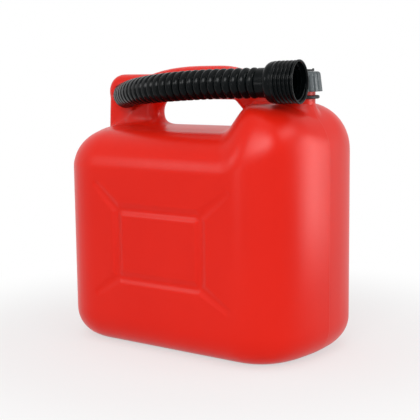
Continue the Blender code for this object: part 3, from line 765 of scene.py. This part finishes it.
def thread(name, radius, height, start):
    """A helical ridge about Z, on a wall or with a negative height in a bore."""
    root = radius - math.copysign(thread_sunk, height)
    total = round(thread_turns * thread_steps)
    fading = thread_steps / 8
    rings = []
    for step in range(total + 1):
        turn = math.radians(thread_bearing) + math.tau * step / thread_steps
        z = start + thread_pitch * step / thread_steps
        fade = max(0.1, smooth_step(min(1.0, step / fading, (total - step) / fading)))
        crest = radius + height * fade
        shoulder = radius + 0.6 * height * fade
        upper = list(zip((root, shoulder, crest), thread_rises))
        lower = [(reach, -rise) for reach, rise in reversed(upper)]
        rings.append([Vector((reach * math.cos(turn), reach * math.sin(turn), z + rise))
                      for reach, rise in upper + lower])
    item = solid(name, rings)
    bpy.ops.object.shade_smooth_by_angle(angle=math.radians(50))
    return item


def move_mesh(item, matrix):
    """Moves an object's mesh, so that the object itself stays at the origin."""
    item.data.transform(matrix)
    item.data.update()


neck_axis = (neck_x, 0.0)
onto_neck = Matrix.Translation((neck_x, 0, 0))
neck = turned("neck", eased([
    (collar_radius, neck_foot, 0), (collar_radius, collar_top, 0.0004),
    (core_radius, collar_top + collar_slope, 0.0006), (core_radius, neck_top, 0.0008),
    (neck_bore, neck_top, 0.0006), (neck_bore, neck_foot, 0)]), 96, neck_axis)
neck_thread = thread("neck_thread", core_radius, thread_height, neck_thread_start)
move_mesh(neck_thread, onto_neck)
fuse(neck, neck_thread)
red.put_on(neck, "tank_plastic")
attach(neck, "canister")


# Cap seal. A flat disc of black rubber, pressed into the cap's roof. It shuts the neck's rim when
# the cap is tight, and it can't be seen from outside.

seal_radius = 0.0182
rubber = Finish("black_rubber", (0.020, 0.020, 0.020), 0.7, 0.2)
rubber.surface("Roughness", 0.62 + 0.16 * rubber.noise(300.0))
rubber.height(0.00004 * rubber.noise(900.0))
seal_bottom, seal_top = (corner.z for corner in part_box("cap_seal"))
cap_seal = turned("cap_seal_disc", eased([
    (0.0, seal_bottom, 0), (seal_radius, seal_bottom, 0.0003),
    (seal_radius, seal_top, 0.0003), (0.0, seal_top, 0)]), 72, neck_axis)
rubber.put_on(cap_seal, "seal_rubber")
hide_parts("cap_seal")
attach(cap_seal, "cap")


# Screw cap. Injection-moulded grey polypropylene with a fluted grip, an inner sleeve with the
# thread, and a low button on its roof that the leash's disc snaps over.

cap_bottom = 0.2665
cap_top = 0.2860
cap_roof = 0.2838
cap_radius = 0.0248
cap_taper = 0.0024
cap_bore = 0.0185
cap_thread_start = 0.2718
skirt_bore = 0.0222
skirt_top = 0.2775
sleeve_radius = 0.0202
button_top = 0.2897
button_stem = 0.0047
flutes = 24
flute_depth = 0.0012
flute_half_width = 0.13
rib_crown = 0.00018
cap_profile = eased([
    # The button's head and stem
    (0.0, button_top, 0), (0.0058, button_top, 0.0006), (0.0063, button_top - 0.0008, 0.0003),
    (button_stem, button_top - 0.0011, 0.0001), (button_stem, cap_top, 0.0004),
    # The grip's wall
    (cap_radius - cap_taper, cap_top, 0.0030), (cap_radius, cap_bottom, 0.0004),
    (skirt_bore, cap_bottom, 0.0004), (0.0208, skirt_top, 0.0006),
    # The inner sleeve and the roof
    (sleeve_radius, skirt_top, 0.0002), (sleeve_radius, cap_bottom, 0.0003),
    (cap_bore, cap_bottom, 0.0004), (cap_bore, cap_roof, 0.0004), (0.0, cap_roof, 0)], 4)
long_side = 0.012
grip_skin = 0.0019
grip_inner_radius = 0.0205
divided_profile = []
for here, there in zip(cap_profile, cap_profile[1:] + cap_profile[:1]):
    divided_profile.append(here)
    if abs(there.y - here.y) > long_side and here.x > skirt_bore:
        divided_profile += [here.lerp(there, step / 6) for step in range(1, 6)]
cap = turned("cap", divided_profile, flutes * 12, neck_axis)
for vert in cap.data.vertices:
    out = Vector((vert.co.x - neck_x, vert.co.y))
    outer_wall = cap_radius - cap_taper * (vert.co.z - cap_bottom) / (cap_top - cap_bottom)
    if out.length < outer_wall - grip_skin or out.length < grip_inner_radius:
        continue
    turn = math.atan2(out.y, out.x) * flutes / math.tau % 1.0
    from_flute = min(turn, 1 - turn)
    groove = math.exp(-((from_flute / flute_half_width) ** 2))
    crowning = rib_crown * (2 * from_flute) ** 2
    below_edge = smooth_step((cap_top - 0.0002 - vert.co.z) / 0.0016)
    shrink = (flute_depth * groove + crowning - rib_crown) * below_edge
    out *= (out.length - max(0.0, shrink)) / out.length
    vert.co.x = neck_x + out.x
    vert.co.y = out.y
cap_thread = thread("cap_thread", cap_bore, -thread_height, cap_thread_start)
move_mesh(cap_thread, onto_neck)
fuse(cap, cap_thread)
grey = Finish("grey_polypropylene", (0.070, 0.082, 0.090), 0.42, 0.35)
mottle = grey.noise(60.0, 3.0)
grey_deep = (0.048, 0.062, 0.068)
grey_light = (0.070, 0.088, 0.094)
grey.surface("Base Color", grey.blend(mottle.step(0.3, 0.7), grey_deep, grey_light))
grey.surface("Roughness", 0.36 + 0.10 * mottle)
grey.height(0.00003 * grey.noise(1100.0) + 0.00003 * grey.noise(260.0, 2.0, (1.0, 1.0, 0.15)))
grey.put_on(cap, "cap_plastic")
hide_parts("screw_cap")
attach(cap, "cap")


# Leash. One black polyethylene moulding: a ring that turns around the collar, a disc snapped over
# the cap's button, and the strap that holds them together when the cap is off.

ring_bottom, ring_top = 0.2594, 0.2627
ring_bore, ring_radius = 0.0181, 0.0218
soft_black = Finish("leash_polyethylene", (0.015, 0.016, 0.018), 0.40, 0.12)
soft_black.surface("Roughness", 0.34 + 0.14 * soft_black.noise(120.0, 3.0))
soft_black.height(0.00003 * soft_black.noise(700.0))
leash_ring = turned("collar_ring", eased([
    (ring_bore, ring_bottom, 0.0005), (ring_radius, ring_bottom, 0.0012),
    (ring_radius, ring_top, 0.0012), (ring_bore, ring_top, 0.0005)], 4), 96, neck_axis)

disc_bottom, disc_top = 0.2863, 0.2883
disc_bore, disc_radius = 0.0050, 0.0166
disc_rim = disc_top - 0.0002
disc_dish = disc_top - 0.0006
leash_disc = turned("cap_disc", eased([
    (disc_bore, disc_bottom, 0.0002), (disc_radius, disc_bottom, 0.0005),
    (disc_radius, disc_rim, 0.0006), (0.0150, disc_rim, 0.0002),
    (0.0145, disc_dish, 0.0003), (0.0088, disc_dish, 0.0003),
    (0.0080, disc_top, 0.0004), (disc_bore, disc_top, 0.0003)], 3), 96, neck_axis)

nub_turn = math.radians(37.0)
nub_reach = 0.0155
nub_radius = 0.0010
nub = turned("nub", eased([
    (0.0, disc_top - 0.0008, 0), (nub_radius, disc_top - 0.0008, 0),
    (nub_radius, disc_top + 0.0007, 0.0005), (0.0, disc_top + 0.0007, 0)], 3),
    24, (neck_x + nub_reach * math.cos(nub_turn), nub_reach * math.sin(nub_turn)))
fuse(leash_disc, nub)

strap_bearing = math.radians(130.0)
strap_bend = 0.0068
strap_half_width = 0.00305
strap_half_depth = 0.0007
strap_edge = 0.0004
low = (ring_bottom + ring_top) / 2
high = (disc_bottom + disc_top) / 2
strap_line = [Vector((0.0214, low))]
strap_line += arc(cap_radius, low + strap_bend, strap_bend, strap_bend, 270, 360, 12)
strap_line += arc(cap_radius, high - strap_bend, strap_bend, strap_bend, 0, 90, 12)
strap_line.append(Vector((0.0162, high)))
outward = Vector((math.cos(strap_bearing), math.sin(strap_bearing), 0))
across = Vector((-outward.y, outward.x, 0))
strap_section = eased([
    (-strap_half_width, -strap_half_depth, strap_edge),
    (strap_half_width, -strap_half_depth, strap_edge),
    (strap_half_width, strap_half_depth, strap_edge),
    (-strap_half_width, strap_half_depth, strap_edge)], 3)
strap_rings = []
for index, point in enumerate(strap_line):
    ahead = strap_line[min(len(strap_line) - 1, index + 1)]
    run = (ahead - strap_line[max(0, index - 1)]).normalized()
    middle = Vector((neck_x, 0, 0)) + outward * point.x + Vector((0, 0, point.y))
    normal = outward * -run.y + Vector((0, 0, run.x))
    strap_rings.append([middle + across * a + normal * b for a, b in strap_section])
strap = solid("strap", strap_rings)
bpy.ops.object.shade_smooth_by_angle(angle=math.radians(50))

for item, node in ((leash_ring, "leash_ring"), (leash_disc, "leash_disc"), (strap, "leash_strap")):
    soft_black.put_on(item, "leash_plastic")
    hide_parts(node)
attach(leash_ring, "canister")
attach(leash_disc, "cap_carrier")
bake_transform(strap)


# Spout hose. A flexible corrugated tube of soft black polyethylene with plain cuffs at its ends,
# pushed into the socket in front and tucked into the hollow in the rear post.

hose_start = 0.0222
hose_end = spout_end - 0.0018
hose_bore = 0.0110
hose_end_bore = 0.0096
cuff = 0.0144
cuff_edge = 0.0004
valley = 0.0122
crest = 0.0150
crest_softness = 0.85
rear_flatness = 0.35
rear_squeeze = 0.0009
first_rib = 0.0434
rib_pitch = 0.00854
ribs = 25
rib_steps = ribs * 12
rib_span = ribs * rib_pitch
tail_start = first_rib + rib_span + 0.0012
tail_edge = 0.0035

front_cuff = hose_start + cuff_edge
cuff_run = first_rib - 0.0016 - hose_start
stations = [(hose_start, hose_bore), (hose_start, cuff - cuff_edge)]
stations += [(front_cuff + cuff_run * step / 8, cuff) for step in range(9)]
for step in range(rib_steps + 1):
    share = step / rib_steps
    flatness = smooth_step(share * 2.5 - 0.5)
    squeeze = rear_squeeze * smooth_step(share * 1.8 - 0.7)
    hump = math.sin(math.pi * (step / 12 % 1.0)) ** crest_softness
    wave = min(1.0, (1 + rear_flatness * flatness) * hump)
    stations.append((first_rib + rib_span * step / rib_steps,
                     valley + 0.5 * squeeze + (crest - valley - 1.5 * squeeze) * wave))
for step in range(9):
    share = step / 8
    stations.append((tail_start + (hose_end - tail_edge - tail_start) * share,
                     cuff - 0.0006 - 0.0010 * share ** 2))
stations += [(hose_end + along - tail_edge, cuff - 0.0051 + out)
             for along, out in arc(0, 0, tail_edge, tail_edge, 75, 0, 5)]
stations.append((hose_end, hose_end_bore))
stations += [(hose_end + (hose_start - hose_end) * step / 60,
              min(hose_bore, hose_end_bore + 0.0007 * step)) for step in range(1, 60)]
hose = solid("hose", [spout_ring(along, radius) for along, radius in stations], closed=True)
bpy.ops.object.shade_smooth_by_angle(angle=math.radians(60))

black = Finish("black_polyethylene", (0.003, 0.0038, 0.0042), 0.2, 0.08)
wear = black.noise(45.0, 4.0)
black_deep = (0.0016, 0.0026, 0.0030)
black_worn = (0.0040, 0.0058, 0.0064)
black.surface("Base Color", black.blend(wear.step(0.5, 0.85), black_deep, black_worn))
black.surface("Roughness", 0.15 + 0.10 * wear)
black.height(0.000006 * black.noise(350.0, 2.0))
black.put_on(hose, "spout_plastic")
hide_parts("spout_hose")
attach(hose, "spout")


# Spout socket. A stiff moulded black coupling with grip ridges around it and the neck's thread
# inside, which screws onto the neck in the cap's place. The hose's cuff is welded into its back.

socket_radius = 0.0210
socket_bore = 0.0185
socket_floor = 0.0199
socket_thread_start = 0.0031
ridge_radius = 0.0205
ridges = 5
ridge_pitch = 0.0041
first_valley = 0.0027
valley_radius = ridge_radius - 0.0016
fold_radius = ridge_radius - 0.0007
back_edge = 0.0264
corners = [(socket_bore, 0.0014, 0.0004), (socket_bore + 0.0010, 0.0, 0.0004),
           (socket_radius, 0.0, 0.0010), (socket_radius, 0.0019, 0.0006)]
for ridge in range(ridges):
    valley_at = first_valley + ridge_pitch * ridge
    corners += [(valley_radius, valley_at - 0.0003, 0.0003),
                (valley_radius, valley_at + 0.0004, 0.0003),
                (ridge_radius, valley_at + 0.0014, 0.0006),
                (ridge_radius, valley_at + 0.0026, 0.0006)]
corners += [(fold_radius, 0.0236, 0.0003), (fold_radius, 0.0240, 0.0003),
            (ridge_radius - 0.0002, 0.0246, 0.0006), (ridge_radius - 0.0004, back_edge, 0)]
socket_profile = eased(corners, 3)
socket_profile += arc(0.0152, back_edge, 0.0049, 0.0066, 8, 90, 10)
socket_profile += [Vector(point) for point in (
    (0.0146, 0.0330), (0.0146, 0.0219), (0.0112, 0.0219), (0.0112, socket_floor),
    (socket_bore, socket_floor))]
socket = turned("socket", socket_profile, 128, (0.0, 0.0))
fuse(socket, thread("socket_thread", socket_bore, -thread_height, socket_thread_start))
place, side, lift, direction = on_spout(0.0)
onto_mouth = (Matrix.Translation(place)
              @ Matrix((side, lift, direction)).transposed().to_4x4())
move_mesh(socket, onto_mouth)
black.put_on(socket, "spout_plastic")
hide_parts("spout_socket")
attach(socket, "spout")


# Spout seal. A flat washer of black rubber that lies loose at the bottom of the socket's bore,
# where the neck's rim presses it when the spout is screwed on.

washer_bore, washer_radius = 0.0122, 0.0182
washer_front, washer_back = 0.0181, 0.0196
spout_seal = turned("socket_washer", eased([
    (washer_bore, washer_front, 0.0003), (washer_radius, washer_front, 0.0003),
    (washer_radius, washer_back, 0.0003), (washer_bore, washer_back, 0.0003)], 2),
    96, (0.0, 0.0))
move_mesh(spout_seal, onto_mouth)
rubber.put_on(spout_seal, "seal_rubber")
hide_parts("spout_seal")
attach(spout_seal, "spout")


# Floor. A wide plain white sheet. What the camera and reflections see of it is pure white away
# from the canister, and partly painted near it, where it keeps a soft shadow.

floor_white = 0.60
shadow_until, white_from = 0.20, 0.45
bpy.ops.object.select_all(action="DESELECT")
bpy.ops.mesh.primitive_plane_add(size=8.0, location=(0, 0, 0))
floor = bpy.context.object
floor.name = "floor"
floor_paint = Finish("floor_paint", (0.82, 0.82, 0.82), 0.9, 0.0)


def white_rays(tree):
    """1 for what the camera, a mirror image or a clear body sees, 0 for what lights the object."""
    seen, mirrored, through = (tree.add("ShaderNodeLightPath", {}, {}, name) for name in (
        "Is Camera Ray", "Is Glossy Ray", "Is Transmission Ray"))
    return seen.math("MAXIMUM", seen, mirrored.math("MAXIMUM", mirrored, through))


away = floor_paint.add("ShaderNodeVectorMath", {"operation": "LENGTH"},
                       {"Vector": floor_paint.place}, "Value")
whiteness = floor_white + (1 - floor_white) * away.step(shadow_until, white_from)
painted = Amount(floor_paint, floor_paint.shader.outputs["BSDF"])
pure = floor_paint.add("ShaderNodeEmission", {}, {"Color": (1.0, 1.0, 1.0, 1.0), "Strength": 1.0})
mixed = floor_paint.add("ShaderNodeMixShader", {},
                        {0: white_rays(floor_paint) * whiteness, 1: painted, 2: pure})
floor_paint.set(floor_paint.nodes["Material Output"], "Surface", mixed)
floor.data.materials.append(floor_paint.material)


# Light. A plain surround, which is white where it is seen. Three soft boxes stand overhead, in
# front and beyond the neck's end, and five strips show only as highlights on the plastic.

surround_level = 0.67
world = bpy.data.worlds.new("surround")
bpy.context.scene.world = world
world.use_nodes = True
surround = Tree(world.node_tree)
background = surround.nodes["Background"]
surround.set(background, "Color", (1.0, 1.0, 1.0, 1.0))
surround.set(background, "Strength",
             surround_level + (1 - surround_level) * white_rays(surround))


def soft_box(name, azimuth, elevation, distance, width, height, brightness, lights=True):
    """A rectangular lamp aimed at the canister. Azimuth 0 is +X, and -90 is -Y."""
    turn = math.radians(azimuth)
    tilt = math.radians(elevation)
    aim = Vector((0, 0, 0.15))
    spot = aim + distance * Vector((math.cos(turn) * math.cos(tilt),
                                    math.sin(turn) * math.cos(tilt), math.sin(tilt)))
    lamp = bpy.data.lights.new(name, "AREA")
    lamp.shape = "RECTANGLE"
    lamp.size = width
    lamp.size_y = height
    lamp.energy = brightness * math.pi * width * height
    item = bpy.data.objects.new(name, lamp)
    item.location = spot
    item.rotation_euler = (aim - spot).to_track_quat("-Z", "Y").to_euler()
    item.visible_camera = False
    item.visible_diffuse = lights
    bpy.context.scene.collection.objects.link(item)


soft_box("overhead", -60, 78, 1.6, 1.0, 1.0, 0.9)
soft_box("key", -64, 31, 1.8, 0.80, 0.36, 8.5)
soft_box("fill", 20, 20, 1.7, 0.9, 0.9, 1.1)
soft_box("end_strip", 32, 4.8, 0.655, 0.21, 0.38, 9.0, lights=False)
soft_box("shoulder_strip", -74, 34, 1.5, 1.20, 0.60, 8.0, lights=False)
soft_box("crown_strip", 5, 42, 1.4, 0.70, 0.40, 6.0, lights=False)
soft_box("hose_strip", -127, 22, 1.6, 0.28, 0.28, 12.0, lights=False)
soft_box("side_strip", -98, 1, 1.4, 0.16, 0.28, 8.0, lights=False)


# Camera. It stands about a metre off the near front corner, level with the canister's top, and
# looks slightly down.

camera_place = (0.65840, -0.88138, 0.29429)
yaw = math.radians(36.6961)
pitch = math.radians(8.0072)
roll = math.radians(-0.6719)
forward = Vector((-math.sin(yaw) * math.cos(pitch), math.cos(yaw) * math.cos(pitch),
                  -math.sin(pitch)))
right = Vector((math.cos(yaw), math.sin(yaw), 0))
up = right.cross(forward)
rolled_right = right * math.cos(roll) + up * math.sin(roll)
rolled_up = up * math.cos(roll) - right * math.sin(roll)
lens = bpy.data.cameras.new("camera")
lens.lens = 88.94
lens.sensor_width = 36.0
lens.clip_start = 0.01
lens.clip_end = 50.0
camera = bpy.data.objects.new("camera", lens)
camera.matrix_world = (Matrix.Translation(camera_place)
                       @ Matrix((rolled_right, rolled_up, -forward)).transposed().to_4x4())
bpy.context.scene.collection.objects.link(camera)
bpy.context.scene.camera = camera
bpy.context.scene.view_settings.view_transform = "Standard"
